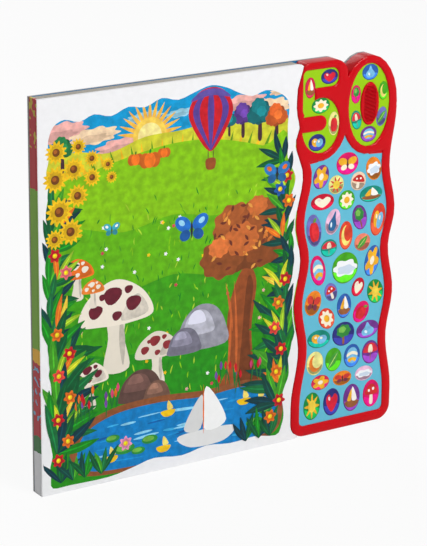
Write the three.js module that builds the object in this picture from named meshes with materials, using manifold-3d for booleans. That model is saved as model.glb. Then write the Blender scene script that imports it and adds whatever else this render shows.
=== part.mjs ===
import * as THREE from 'three';
import { mergeVertices } from 'three/addons/utils/BufferGeometryUtils.js';
import Module from 'manifold-3d';

// A sound book: a board book cut to a wavy edge, beside a slim plastic case with fifty oval buttons.
// Millimetres. It is modelled lying on its back cover: X runs from the spine to the case, Y up the page,
// and Z from the back cover's outer face towards the reader. The last group stands it on its bottom edge.

const wasm = await Module();
wasm.setup();

// Book
const bookHeight = 300;
const coverWidth = 227.2;
const coverBoard = 2;
const creaseGap = 0.3;
const coverCornerRadius = 6;
const coverFootRadius = 4;

// Page block
const leafCount = 5;
const leafThickness = 1.8;
const leafRounding = 0.4;
const pageInset = 0.4;

// Sound case, seen from the front
const coverToCaseCentre = 40.1;
const caseLift = 0.8;
const caseProud = 1.5;
const caseFootRadius = 12;
const caseToPaper = 0.4;
const bezelWidth = 7.7;
const bezelFoot = 8.6;

// Where the wavy sides bulge out and draw in: height up the page, then half the width there
const waveStations = [
  [27, 47.4],
  [72, 41.5],
  [109, 46.7],
  [146, 41.2],
  [175, 46.4],
  [213, 40.2],
];

// The same round the two figures, but with the depth below the book's top edge first
const leftShoulder = [
  [60, 47.5],
  [48, 43.8],
  [36, 47.2],
  [23, 46.9],
  [-1, 41.3],
];
const rightShoulder = [[42, 45.3]];

// The figure 5: its head's outer corners, the strokes of its window and its two tongues
const fiveCentreX = -25.4;
const headRight = -1.3;
const headInnerRadius = 12;
const headOuterRadius = 4;
const headOverlap = 28;
const fiveWindowLeft = -16.6;
const barRight = 15.4;
const barHeight = 14.3;
const barToBowl = 8;
const barRadius = 6;
const barOuterRadius = 4;
const headBezel = 5.6;
const stemWidth = 10.5;
const stemDrop = 35.8;
const stemFootRadius = 6;
const bowlHalfWidth = 17.1;
const bowlHalfHeight = 21.5;
const bowlBezelSide = 7.2;
const bowlBezelFoot = 6.6;
const tongueTip = 5.2;
const tongueHalfHeight = 6;
const tongueRise = 2;

// The figure 0, an oval ring
const zeroCentreX = 19;
const zeroHalfWidth = 26.3;
const zeroHalfHeight = 38.7;
const zeroBezelSide = 7.4;
const zeroBezelEnds = 6.2;

// The pointed top of the main window, between the two figures
const fieldDrop = 77;
const peakHalfWidth = 20;
const peakX = -3;
const peakDrop = 59;

// Case mouldings, from the front face to the back
const caseWall = 1.8;
const caseSkin = 1.3;
const edgeRound = 1.3;
const windowRound = 0.9;
const fitGap = 0.3;
const panelThickness = 1.4;
const circuitThickness = 1.2;
const rearPlate = 1.5;

// Buttons
const buttonGap = 0.3;
const buttonThickness = 2.4;
const buttonTravel = 0.8;
const pressClearance = 0.3;
const fieldKeysX = 0.8;
const zeroKeysX = 0.5;

// Loudspeaker grille, a raised oval island with level slots
const grilleLift = 0.9;
const grilleHalfWidth = 8.6;
const grilleHalfHeight = 16.9;
const grilleRise = 1.3;
const grilleRound = 0.8;
const slotCount = 26;
const slotPitch = 1.08;
const slotHeight = 0.5;
const slotHalfLength = 5.6;
const slotEndMargin = 1.6;

// Oval loudspeaker behind the grille
const speakerHalfWidth = 7.6;
const speakerHalfHeight = 15.6;
const speakerRim = 1;
const speakerBasket = 2.2;
const speakerBasketTaper = 1.8;
const magnetRadius = 5.2;
const magnetThickness = 2;

// Battery bay in the back, for three button cells side by side
const cellDiameter = 11.6;
const cellThickness = 5.4;
const cellCount = 3;
const cellGap = 0.5;
const bayY = 60;
const bayWall = 1.2;
const bayCeiling = 0.8;
const doorLedge = 2.6;
const doorCornerRadius = 3;
const doorGap = 0.5;
const doorThickness = 1.5;
const doorScrewRadius = 1.6;
const doorScrewX = 18;
const fingerRibCount = 4;
const fingerRibPitch = 2;
const fingerRibWidth = 0.8;
const fingerRibLength = 9;
const fingerRibDepth = 0.4;

// Posts that carry the circuit board
const postRadius = 2.2;
const postX = 30;
const postHeights = [38, 106, 172, 238];

// Levels, counted from the back cover's outer face
const pagesBack = coverBoard + creaseGap;
const pagesFront = pagesBack + leafCount * leafThickness;
const frontCoverBack = pagesFront + creaseGap;
const frontCoverFront = frontCoverBack + coverBoard;
const caseBack = coverBoard + fitGap;
const caseFront = frontCoverFront + caseProud;
const skinBack = caseFront - caseSkin;
const panelFront = skinBack - fitGap;
const panelBack = panelFront - panelThickness;
const buttonBack = panelFront - buttonThickness;
const circuitFront = buttonBack - buttonTravel - pressClearance;
const circuitBack = circuitFront - circuitThickness;
const rearPlateFront = caseBack + rearPlate;
const speakerFront = panelBack - fitGap;
const bayTop = coverBoard + cellThickness;

// Places that follow from the sizes above
const caseCentreX = coverWidth + coverToCaseCentre;
const spineInner = coverBoard;
const zeroY = bookHeight - zeroHalfHeight;
const bowlY = bookHeight - headBezel - barHeight - barToBowl - bowlHalfHeight;
const grilleX = caseCentreX + zeroCentreX + zeroKeysX;
const grilleY = zeroY + grilleLift;
const fieldTop = bookHeight - fieldDrop;
const footCornerX = waveStations[0][1] - caseFootRadius;
const cutClear = 1;

// Facets
const waveStep = 8;
const cornerSegments = 4;
const ovalSegments = 6;
const windowSegments = 13;

// Colours
const red = 0xc8061c;
const print = {
  sky: 0x57b4d8,
  purple: 0x70338c,
  magenta: 0xdc0763,
  orange: 0xf08722,
  straw: 0xf1ec93,
  peach: 0xf7d3b4,
  scarlet: 0xc5092d,
  leaf: 0x45a818,
  teal: 0x0d8b78,
  lilac: 0x7472c2,
  pink: 0xf0bfdd,
  coral: 0xdc4229,
  salmon: 0xf28468,
  blue: 0x2c5fae,
  crimson: 0xd41c4c,
  navy: 0x2a2d78,
  forest: 0x0f8a3c,
};

function plastic(colour, roughness) {
  return new THREE.MeshStandardMaterial({ color: colour, roughness, metalness: 0 });
}

// A closed geometry as a solid that can be joined and cut
function solid(geometry) {
  geometry.deleteAttribute('normal');
  geometry.deleteAttribute('uv');
  const merged = mergeVertices(geometry, 1e-4);
  return new wasm.Manifold(new wasm.Mesh({
    numProp: 3,
    vertProperties: new Float32Array(merged.attributes.position.array),
    triVerts: new Uint32Array(merged.index.array),
  }));
}

function joined(solids) {
  return solids.reduce((sum, next) => sum.add(next));
}

function cut(body, cutters) {
  return cutters.reduce((rest, cutter) => rest.subtract(cutter), body);
}

// A plan pushed up from one level to another
function slab(plan, from, to, segments = cornerSegments) {
  const geometry = new THREE.ExtrudeGeometry(plan, {
    depth: to - from,
    bevelEnabled: false,
    curveSegments: segments,
  });
  return solid(geometry.translate(0, 0, from));
}

// The same, with its upper edge rounded over and its lower edge square
function roundedSlab(plan, from, to, round, segments = cornerSegments) {
  const geometry = new THREE.ExtrudeGeometry(plan, {
    depth: to - from,
    bevelThickness: round,
    bevelSize: round,
    bevelOffset: -round,
    bevelSegments: 2,
    curveSegments: segments,
  });
  const tall = solid(geometry.translate(0, 0, from - round));
  return tall.intersect(slab(everywhere(), from, to));
}

// A window cutter that flares out towards the front, to leave a sloping edge
function flaredCutter(plan, from, front, slope, segments = cornerSegments) {
  const flare = solid(new THREE.ExtrudeGeometry(plan, {
    depth: cutClear,
    bevelThickness: slope,
    bevelSize: slope,
    bevelSegments: 1,
    curveSegments: segments,
  }).translate(0, 0, front));
  return slab(plan, from, front + cutClear, segments).add(flare);
}

function block(left, bottom, right, top, radii = [0, 0, 0, 0]) {
  const [footLeft, footRight, headRightRadius, headLeft] = radii;
  const plan = new THREE.Shape();
  plan.moveTo(left + footLeft, bottom);
  plan.lineTo(right - footRight, bottom);
  if (footRight) plan.absarc(right - footRight, bottom + footRight, footRight, -Math.PI / 2, 0);
  plan.lineTo(right, top - headRightRadius);
  if (headRightRadius) {
    plan.absarc(right - headRightRadius, top - headRightRadius, headRightRadius, 0, Math.PI / 2);
  }
  plan.lineTo(left + headLeft, top);
  if (headLeft) plan.absarc(left + headLeft, top - headLeft, headLeft, Math.PI / 2, Math.PI);
  plan.lineTo(left, bottom + footLeft);
  if (footLeft) plan.absarc(left + footLeft, bottom + footLeft, footLeft, Math.PI, Math.PI * 1.5);
  return plan;
}

function blockAround(x, y, halfWidth, halfHeight) {
  return block(x - halfWidth, y - halfHeight, x + halfWidth, y + halfHeight);
}

// A plan that reaches past the whole book, to trim with
function everywhere() {
  return block(-cutClear, -cutClear, 2 * coverWidth, bookHeight + cutClear);
}

function oval(x, y, halfWidth, halfHeight, lean = 0) {
  const plan = new THREE.Shape();
  plan.absellipse(x, y, halfWidth, halfHeight, 0, Math.PI * 2, false, THREE.MathUtils.degToRad(lean));
  return plan;
}

// Half the case's width at a height, easing from one station to the next
function halfWidthAt(y, stations) {
  const next = stations.findIndex(([height]) => height > y);
  if (next === 0) return stations[0][1];
  if (next < 0) return stations[stations.length - 1][1];
  const [y0, w0] = stations[next - 1];
  const [y1, w1] = stations[next];
  const ease = (1 - Math.cos(Math.PI * (y - y0) / (y1 - y0))) / 2;
  return w0 + (w1 - w0) * ease;
}

function sidePoints(side, stations, bottom, top, inset) {
  const steps = Math.ceil((top - bottom) / waveStep);
  return Array.from({ length: steps + 1 }, (_, i) => {
    const y = bottom + (top - bottom) * i / steps;
    return new THREE.Vector2(caseCentreX + side * (halfWidthAt(y, stations) - inset), y);
  });
}

const fromTop = ([depth, half]) => [bookHeight - depth, half];
const leftStations = [...waveStations, ...leftShoulder.map(fromTop)];
const rightStations = [...waveStations, ...rightShoulder.map(fromTop)];
const trunkTop = bookHeight - rightShoulder[0][0];

// The wavy trunk of the case, from its rounded foot up to a level top
function trunkPlan(inset, foot, top) {
  const radius = caseFootRadius - inset;
  const half = waveStations[0][1] - inset;
  const bottom = caseLift + foot;
  const plan = new THREE.Shape();
  plan.moveTo(caseCentreX - half + radius, bottom);
  plan.lineTo(caseCentreX + half - radius, bottom);
  plan.absarc(caseCentreX + half - radius, bottom + radius, radius, -Math.PI / 2, 0);
  const start = Math.max(bottom + radius, waveStations[0][0]);
  sidePoints(1, rightStations, start, top, inset).forEach((p) => plan.lineTo(p.x, p.y));
  sidePoints(-1, leftStations, start, top, inset).reverse().forEach((p) => plan.lineTo(p.x, p.y));
  plan.lineTo(caseCentreX - half, bottom + radius);
  plan.absarc(caseCentreX - half + radius, bottom + radius, radius, Math.PI, Math.PI * 1.5);
  return plan;
}

function headPlan(inset) {
  const right = caseCentreX + headRight - inset;
  const top = bookHeight - inset;
  const inner = headInnerRadius - inset;
  const outer = Math.max(headOuterRadius - inset, 0.5);
  const bottom = trunkTop - headOverlap;
  const left = sidePoints(-1, leftStations, bottom, top - outer, inset);
  const corner = left[left.length - 1];
  const plan = new THREE.Shape();
  plan.moveTo(left[0].x, bottom);
  plan.lineTo(right, bottom);
  plan.lineTo(right, top - inner);
  plan.absarc(right - inner, top - inner, inner, 0, Math.PI / 2);
  plan.lineTo(corner.x + outer, top);
  plan.absarc(corner.x + outer, top - outer, outer, Math.PI / 2, Math.PI);
  left.reverse().forEach((p) => plan.lineTo(p.x, p.y));
  return plan;
}

function zeroPlan(sideInset, endInset = sideInset) {
  const centre = caseCentreX + zeroCentreX;
  return oval(centre, zeroY, zeroHalfWidth - sideInset, zeroHalfHeight - endInset);
}

// The whole outline of the case, drawn in from its edge by an inset, between two levels
function caseSolid(inset, from, to, round = 0) {
  const push = (plan, segments) => (round
    ? roundedSlab(plan, from, to, round, segments)
    : slab(plan, from, to, segments));
  return joined([
    push(trunkPlan(inset, inset, trunkTop)),
    push(headPlan(inset)),
    push(zeroPlan(inset), windowSegments),
  ]);
}

// The windows, each wider at the front. The figures' rings stay standing round the field's top.
function windowCutter() {
  const from = panelFront - cutClear;
  const flared = (plan, segments) => flaredCutter(plan, from, caseFront, windowRound, segments);
  const standing = (plan) => roundedSlab(plan, from - cutClear, caseFront, edgeRound, windowSegments);
  const five = caseCentreX + fiveCentreX;
  const left = five + fiveWindowLeft;
  const top = bookHeight - headBezel;
  const barRadii = [0, barRadius, barRadius, barOuterRadius];
  const bar = flared(block(left, top - barHeight, five + barRight, top, barRadii));
  const stemRadii = [stemFootRadius, 0, 0, 0];
  const stemPlan = block(left, top - stemDrop, left + stemWidth, top - barOuterRadius, stemRadii);
  const stem = flared(stemPlan);
  const bowl = flared(oval(five, bowlY, bowlHalfWidth, bowlHalfHeight), windowSegments);
  const tongueY = bowlY + tongueRise;
  const tongue = standing(block(
    left - 2 * cutClear,
    tongueY - tongueHalfHeight,
    five + tongueTip,
    tongueY + tongueHalfHeight,
    [0, tongueHalfHeight - 0.1, tongueHalfHeight - 0.1, 0],
  ));
  const fiveWindow = cut(joined([bar, bowl]), [tongue]).add(stem.subtract(tongue));
  const zeroWindow = flared(zeroPlan(zeroBezelSide, zeroBezelEnds), windowSegments);
  const peak = block(
    caseCentreX + peakX - peakHalfWidth,
    fieldTop - zeroBezelSide,
    caseCentreX + peakX + peakHalfWidth,
    bookHeight - peakDrop,
  );
  const field = joined([flared(trunkPlan(bezelWidth, bezelFoot, fieldTop)), flared(peak)]);
  const bowlRing = oval(five, bowlY, bowlHalfWidth + bowlBezelSide, bowlHalfHeight + bowlBezelFoot);
  const fieldWindow = cut(field, [standing(bowlRing), standing(zeroPlan(0))]);
  return joined([fiveWindow, zeroWindow, fieldWindow]);
}

// Buttons. A key is an oval: place, half sizes, lean in degrees to the left, and its ground colour.
const key = (x, y, halfWidth, halfHeight, lean, colour) => ({ x, y, halfWidth, halfHeight, lean, colour });
const pair = (x, y, halfWidth, halfHeight, lean, left, right) => [
  key(-x, y, halfWidth, halfHeight, lean, left),
  key(x, y, halfWidth, halfHeight, -lean, right),
];
const placed = (group, x, y) => group.map((one) => ({ ...one, x: one.x + x, y: one.y + y }));

const fiveKeys = placed([
  key(7.2, 37, 7.7, 5.7, 0, print.navy),
  key(-10.2, 30.2, 4.7, 8, 0, print.crimson),
  key(-0.3, 15.4, 8.2, 6.1, 0, print.forest),
  key(12.1, 0, 4.9, 9.2, 0, print.straw),
  key(-2.9, -13, 7.8, 6.6, 0, print.navy),
], caseCentreX + fiveCentreX, bowlY);
const zeroKeys = placed([
  key(0, 25.4, 7.4, 6.2, 0, print.blue),
  ...pair(12.8, 9.5, 4.5, 7.2, 0, print.magenta, print.leaf),
  ...pair(11.8, -10.7, 4.7, 7.6, 12, print.teal, print.lilac),
  key(0, -23.2, 7.5, 6.2, 0, print.purple),
], grilleX, zeroY);
const fieldKeys = placed([
  ...pair(24.6, 209.2, 7.1, 9.5, -15, print.purple, print.orange),
  key(-0.3, 216.5, 10.2, 8.8, 0, print.magenta),
  ...pair(10.4, 201.1, 7.1, 7.4, 12, print.straw, print.peach),
  ...pair(22.8, 189.1, 10.7, 6.4, 0, print.scarlet, print.teal),
  key(-0.2, 187.5, 7.5, 7.7, 0, print.leaf),
  ...pair(30.1, 167.4, 6.8, 13.1, 9, print.lilac, print.coral),
  ...pair(12.6, 171.8, 6.7, 10.3, -15, print.pink, print.purple),
  key(0, 159, 6.3, 11.4, 0, print.coral),
  ...pair(15.8, 151.2, 7.5, 7, 0, print.teal, print.salmon),
  ...pair(25.5, 134.5, 6.9, 12.5, 12, print.magenta, print.blue),
  key(0, 132.7, 12.2, 12.6, 0, print.leaf),
  ...pair(29.5, 108.7, 7.5, 10.1, -14, print.orange, print.forest),
  ...pair(12.8, 115, 5.8, 7.7, 20, print.lilac, print.scarlet),
  key(0, 101.6, 6.8, 10, 0, print.blue),
  ...pair(16.4, 94, 7.1, 9.1, 30, print.coral, print.magenta),
  ...pair(23.2, 78.3, 10.7, 7.3, -5, print.teal, print.purple),
  key(0, 78.5, 10.5, 9.8, 0, print.navy),
  ...pair(26.5, 58.7, 7.9, 9.7, 0, print.straw, print.purple),
  ...pair(8.9, 58.7, 7.8, 9.7, 0, print.leaf, print.blue),
  ...pair(20.9, 41.8, 8.5, 6.1, 0, print.crimson, print.pink),
  key(0, 41.6, 8.8, 6, 0, print.orange),
  ...pair(28.5, 23.4, 7.9, 11.4, 0, print.forest, print.magenta),
  ...pair(9.6, 23.4, 8, 11.4, 0, print.navy, print.purple),
], caseCentreX + fieldKeysX, caseLift);
const keys = [...fiveKeys, ...zeroKeys, ...fieldKeys];

function keyPlan(one, grow = 0) {
  return oval(one.x, one.y, one.halfWidth + grow, one.halfHeight + grow, one.lean);
}

// Printed board covers. The paper edge follows the case's outline at a small distance.
function paperSolid(left, inset, from, to) {
  const radii = [0, coverFootRadius, coverCornerRadius, 0];
  const sheet = slab(block(left, inset, coverWidth - inset, bookHeight - inset, radii), from, to);
  return sheet.subtract(caseSolid(-caseToPaper - inset, from - cutClear, to + cutClear));
}

function frontCover() {
  return paperSolid(0, 0, frontCoverBack, frontCoverFront);
}

function spine() {
  return slab(block(0, 0, spineInner, bookHeight), pagesBack, pagesFront);
}

// Thick board leaves, joined at the back edge. A shallow groove shows between each two.
function pageBlock() {
  const left = spineInner + creaseGap;
  const leaves = paperSolid(left, pageInset, pagesBack, pagesFront);
  const coreInset = pageInset + leafRounding;
  const core = paperSolid(left - cutClear, coreInset, pagesBack - cutClear, pagesFront + cutClear);
  const rim = leaves.subtract(core);
  const grooves = Array.from({ length: leafCount - 1 }, (_, i) => {
    const level = pagesBack + (i + 1) * leafThickness;
    const band = slab(everywhere(), level - leafRounding / 2, level + leafRounding / 2);
    return rim.intersect(band);
  });
  return cut(leaves, grooves);
}

// Battery bay sizes
const cellsWidth = cellCount * cellDiameter + (cellCount - 1) * cellGap;
const bayHalfWidth = cellsWidth / 2 + cellGap;
const bayHalfHeight = cellDiameter / 2 + cellGap;
const doorHalfWidth = bayHalfWidth + doorLedge;
const doorHalfHeight = bayHalfHeight + doorLedge;

function bayPlan(grow, radius) {
  return block(
    caseCentreX - bayHalfWidth - grow,
    bayY - bayHalfHeight - grow,
    caseCentreX + bayHalfWidth + grow,
    bayY + bayHalfHeight + grow,
    [radius, radius, radius, radius],
  );
}

// One board: the back of the book, and the backing that the case is fixed to
function backCover() {
  const sheet = slab(block(0, 0, caseCentreX - footCornerX, bookHeight), 0, coverBoard);
  const backing = caseSolid(0, 0, coverBoard);
  const footLeft = caseCentreX - footCornerX - cutClear;
  const footPlan = block(footLeft, 0, caseCentreX + footCornerX, caseLift + cutClear);
  const foot = slab(footPlan, 0, coverBoard);
  const holePlan = bayPlan(doorLedge + doorGap, doorCornerRadius + doorGap);
  const hole = slab(holePlan, -cutClear, coverBoard + cutClear);
  return joined([sheet, backing, foot]).subtract(hole);
}

// Front moulding: a rounded bezel with the three windows, and a skirt that runs back to the board
function frontCase() {
  const shell = caseSolid(0, caseBack, caseFront, edgeRound);
  const hollow = caseSolid(caseWall, caseBack - cutClear, skinBack);
  return cut(shell, [hollow, windowCutter()]);
}

// Keypad plate, with a hole for each button and the slotted grille standing up in the figure 0
function buttonPanel() {
  const plate = caseSolid(caseWall + fitGap, panelBack, panelFront);
  const holes = keys.map((one) => slab(
    keyPlan(one, buttonGap),
    panelBack - cutClear,
    panelFront + cutClear,
    ovalSegments,
  ));
  const islandPlan = oval(grilleX, grilleY, grilleHalfWidth, grilleHalfHeight);
  const island = roundedSlab(islandPlan, panelBack, panelFront + grilleRise, grilleRound, windowSegments);
  const slots = Array.from({ length: slotCount }, (_, i) => {
    const rise = (i - (slotCount - 1) / 2) * slotPitch;
    const room = Math.sqrt(1 - (rise / (grilleHalfHeight - slotEndMargin)) ** 2);
    const half = Math.min(slotHalfLength, (grilleHalfWidth - slotEndMargin) * room);
    const y = grilleY + rise;
    const plan = block(grilleX - half, y - slotHeight / 2, grilleX + half, y + slotHeight / 2);
    return slab(plan, panelBack - cutClear, panelFront + grilleRise + cutClear);
  });
  return cut(cut(plate, holes).add(island), slots);
}

function speaker() {
  const plan = (inset) => oval(grilleX, grilleY, speakerHalfWidth - inset, speakerHalfHeight - inset);
  const rimBack = speakerFront - speakerRim;
  const basketBack = rimBack - speakerBasket;
  const rim = slab(plan(0), rimBack, speakerFront, ovalSegments);
  const basket = solid(new THREE.ExtrudeGeometry(plan(cutClear), {
    depth: cutClear / 2,
    bevelThickness: speakerBasket,
    bevelSize: speakerBasketTaper,
    bevelOffset: -speakerBasketTaper,
    bevelSegments: 1,
    curveSegments: ovalSegments,
  }).translate(0, 0, rimBack)).intersect(slab(everywhere(), basketBack, rimBack + cutClear / 2));
  const magnetPlan = oval(grilleX, grilleY, magnetRadius, magnetRadius);
  const magnet = slab(magnetPlan, basketBack - magnetThickness, rimBack, ovalSegments);
  return joined([rim, basket, magnet]);
}

// Circuit board that spans the case behind the buttons, open round the loudspeaker
function circuitBoard() {
  const board = caseSolid(caseWall + 2 * fitGap, circuitBack, circuitFront);
  const opening = oval(grilleX, grilleY, speakerHalfWidth + fitGap, speakerHalfHeight + fitGap);
  return board.subtract(slab(opening, circuitBack - cutClear, circuitFront + cutClear, ovalSegments));
}

// Rear moulding: a plate let into the skirt, with the battery bay and the posts for the board
function rearCase() {
  const plate = caseSolid(caseWall + fitGap, caseBack, rearPlateFront);
  const bayOuter = slab(bayPlan(bayWall, bayWall), caseBack, bayTop + bayCeiling);
  const bayInner = slab(bayPlan(0, 0), caseBack - cutClear, bayTop);
  const postTop = circuitBack - fitGap;
  const posts = postHeights.flatMap((y) => [-1, 1].map((side) => {
    const x = caseCentreX + side * postX;
    return slab(oval(x, y, postRadius, postRadius), caseBack, postTop, cornerSegments);
  }));
  return joined([plate, bayOuter, ...posts]).subtract(bayInner);
}

// Battery door: a thin plate in the back cover's opening, with a screw hole and finger ribs
function batteryDoor() {
  const outer = coverBoard - doorThickness;
  const plate = slab(bayPlan(doorLedge, doorCornerRadius), outer, coverBoard);
  const screwHole = slab(
    oval(caseCentreX + doorScrewX, bayY, doorScrewRadius, doorScrewRadius),
    outer - cutClear,
    coverBoard + cutClear,
  );
  const ribs = Array.from({ length: fingerRibCount }, (_, i) => {
    const x = caseCentreX - doorHalfWidth + doorCornerRadius + (i + 1) * fingerRibPitch;
    const plan = blockAround(x, bayY, fingerRibWidth / 2, fingerRibLength / 2);
    return slab(plan, outer - cutClear, outer + fingerRibDepth);
  });
  return cut(plate, [screwHole, ...ribs]);
}

function mesh(name, body, material) {
  const { vertProperties, triVerts } = body.getMesh();
  const geometry = new THREE.BufferGeometry();
  geometry.setAttribute('position', new THREE.BufferAttribute(vertProperties, 3));
  geometry.setIndex(new THREE.BufferAttribute(triVerts, 1));
  geometry.computeVertexNormals();
  const result = new THREE.Mesh(geometry, material);
  result.name = name;
  return result;
}

const redPlastic = plastic(red, 0.25);
const greyPlastic = plastic(0x4a4a4c, 0.5);
const board = plastic(0xe9e6e4, 0.45);

const book = new THREE.Group();
book.add(
  mesh('front_cover', frontCover(), plastic(0x5fae1e, 0.4)),
  mesh('spine', spine(), plastic(0xb3122a, 0.4)),
  mesh('page_block', pageBlock(), plastic(0xb9b5a4, 0.7)),
  mesh('back_cover', backCover(), board),
);

const soundCase = new THREE.Group();
soundCase.add(
  mesh('front_case', frontCase(), redPlastic),
  mesh('button_panel', buttonPanel(), plastic(print.sky, 0.35)),
  mesh('speaker', speaker(), greyPlastic),
  mesh('circuit_board', circuitBoard(), plastic(0x1f6b3a, 0.6)),
  mesh('rear_case', rearCase(), redPlastic),
  mesh('battery_door', batteryDoor(), redPlastic),
);
keys.forEach((one, i) => {
  const name = `button_${String(i + 1).padStart(2, '0')}`;
  const body = slab(keyPlan(one), buttonBack, panelFront, ovalSegments);
  soundCase.add(mesh(name, body, plastic(one.colour, 0.35)));
});
book.add(soundCase);

// Stand the book up: its middle over the origin, the front cover towards -Y, the case towards +X
const overallWidth = caseCentreX + Math.max(...waveStations.map(([, half]) => half));
book.rotation.x = Math.PI / 2;
book.position.set(-overallWidth / 2, caseFront / 2, 0);

const standingBook = new THREE.Group();
standingBook.add(book);

export default standingBook;
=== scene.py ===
import math
import random

import bmesh
import bpy
from mathutils import Matrix, Vector
from mathutils.geometry import delaunay_2d_cdt
from mathutils.kdtree import KDTree


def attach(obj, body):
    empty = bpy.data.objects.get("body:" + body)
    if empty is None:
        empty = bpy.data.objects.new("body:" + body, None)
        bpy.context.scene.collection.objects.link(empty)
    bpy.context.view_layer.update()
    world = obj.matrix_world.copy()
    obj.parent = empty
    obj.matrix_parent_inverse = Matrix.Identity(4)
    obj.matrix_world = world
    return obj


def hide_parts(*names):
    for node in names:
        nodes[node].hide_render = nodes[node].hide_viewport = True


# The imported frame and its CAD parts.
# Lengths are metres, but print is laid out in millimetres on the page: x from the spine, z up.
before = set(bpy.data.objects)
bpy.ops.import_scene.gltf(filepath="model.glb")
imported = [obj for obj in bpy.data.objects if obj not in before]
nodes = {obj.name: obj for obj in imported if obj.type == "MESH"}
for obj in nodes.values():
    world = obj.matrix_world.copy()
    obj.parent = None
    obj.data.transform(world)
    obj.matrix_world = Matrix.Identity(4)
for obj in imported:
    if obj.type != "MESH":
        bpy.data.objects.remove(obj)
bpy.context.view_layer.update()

MM = 0.001
BOOK_HEIGHT = 300
SPINE_X = -0.15735


# Camera at the photograph's viewing angle, plain soft light, and a pale floor.
# The camera was fitted to the book's corners in the photograph.
CAMERA_PLACE = Vector((-0.91904, -1.44303, 0.69766))
CAMERA_YAW, CAMERA_PITCH, CAMERA_ROLL = (math.radians(a) for a in (32.32, 17.88, 0.522))
SENSOR_WIDTH, CAMERA_LENS = 36, 157.54
LIGHT_TARGET = Vector((0, 0, 0.15))
WHITE_LIGHT = (1, 1, 1, 1)
COAT_ROUGHNESS = 0.12
DOME_STRENGTH = 0.2
FLOOR_RADIUS = 9.0
FLOOR_COLOUR = (0.86, 0.86, 0.86, 1)
FLOOR_WHITENESS = 0.92


def photo_camera():
    forward = Vector((
        math.sin(CAMERA_YAW) * math.cos(CAMERA_PITCH),
        math.cos(CAMERA_YAW) * math.cos(CAMERA_PITCH),
        -math.sin(CAMERA_PITCH),
    ))
    level = Vector((math.cos(CAMERA_YAW), -math.sin(CAMERA_YAW), 0))
    upright = level.cross(forward)
    right = level * math.cos(CAMERA_ROLL) + upright * math.sin(CAMERA_ROLL)
    up = upright * math.cos(CAMERA_ROLL) - level * math.sin(CAMERA_ROLL)
    data = bpy.data.cameras.new("photo_camera")
    data.sensor_width = SENSOR_WIDTH
    data.lens = CAMERA_LENS
    camera = bpy.data.objects.new("photo_camera", data)
    turn = Matrix((right, up, -forward)).transposed().to_4x4()
    camera.matrix_world = Matrix.Translation(CAMERA_PLACE) @ turn
    bpy.context.scene.collection.objects.link(camera)
    bpy.context.scene.camera = camera


def area_light(name, place, size, power):
    data = bpy.data.lights.new(name, "AREA")
    data.shape = "DISK"
    data.size = size
    data.energy = power
    light = bpy.data.objects.new(name, data)
    aim = (LIGHT_TARGET - Vector(place)).to_track_quat("-Z", "Y")
    light.matrix_world = Matrix.Translation(place) @ aim.to_matrix().to_4x4()
    bpy.context.scene.collection.objects.link(light)


def new_node(tree, kind, sockets=None, stops=(), **settings):
    """A shader node: first its settings and a ramp's stops, then its sockets' values or links."""
    node = tree.nodes.new(kind)
    for name, value in settings.items():
        setattr(node, name, value)
    if stops:
        node.color_ramp.interpolation = "CONSTANT"
        elements = node.color_ramp.elements
        while len(elements) < len(stops):
            elements.new(1.0)
        for element, (position, colour) in zip(elements, stops):
            element.position = position
            element.color = colour
    for key, value in (sockets or {}).items():
        if isinstance(value, Wire):
            tree.links.new(value.socket, node.inputs[key])
        else:
            node.inputs[key].default_value = value
    return node


# Wraps a socket, so that sums in a shader read as sums.
class Wire:
    def __init__(self, socket):
        self.socket = socket

    def node(self, kind, sockets, output=0, **settings):
        return Wire(new_node(self.socket.id_data, kind, sockets, **settings).outputs[output])

    def math(self, operation, first, second):
        return self.node("ShaderNodeMath", {0: first, 1: second}, operation=operation)

    def __add__(self, other):
        return self.math("ADD", self, other)

    def __sub__(self, other):
        return self.math("SUBTRACT", self, other)

    def __mul__(self, other):
        return self.math("MULTIPLY", self, other)

    def __lt__(self, other):
        return self.math("LESS_THAN", self, other)

    def __gt__(self, other):
        return self.math("GREATER_THAN", self, other)

    def mix(self, first, second):
        sockets = {"Factor": self, 6: first, 7: second}
        return self.node("ShaderNodeMix", sockets, 2, data_type="RGBA")

    def bands(self, stops):
        return self.node("ShaderNodeValToRGB", {"Fac": self}, stops=stops)


# A material of an even gloss, and the object coordinates to vary its colour by.
class Finish:
    def __init__(self, name, roughness, coat=0.0, specular=0.5):
        self.material = bpy.data.materials.new(name)
        self.material.use_nodes = True
        self.tree = self.material.node_tree
        self.shader = self.tree.nodes["Principled BSDF"]
        self.shader.inputs["Roughness"].default_value = roughness
        self.shader.inputs["Coat Weight"].default_value = coat
        self.shader.inputs["Coat Roughness"].default_value = COAT_ROUGHNESS
        self.shader.inputs["Specular IOR Level"].default_value = specular
        self.place = Wire(new_node(self.tree, "ShaderNodeTexCoord").outputs["Object"])
        split = new_node(self.tree, "ShaderNodeSeparateXYZ", {0: self.place})
        self.x, self.y, self.z = (Wire(socket) for socket in split.outputs)

    def noise(self, scale, detail=2.0):
        sockets = {"Vector": self.place, "Scale": scale, "Detail": detail}
        return self.place.node("ShaderNodeTexNoise", sockets)

    def paint(self, colour):
        if isinstance(colour, Wire):
            self.tree.links.new(colour.socket, self.shader.inputs["Base Color"])
        else:
            self.shader.inputs["Base Color"].default_value = colour
        return self

    def bump(self, height, strength, distance):
        sockets = {"Strength": strength, "Distance": distance, "Height": height}
        normal = self.place.node("ShaderNodeBump", sockets)
        self.tree.links.new(normal.socket, self.shader.inputs["Normal"])


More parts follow.
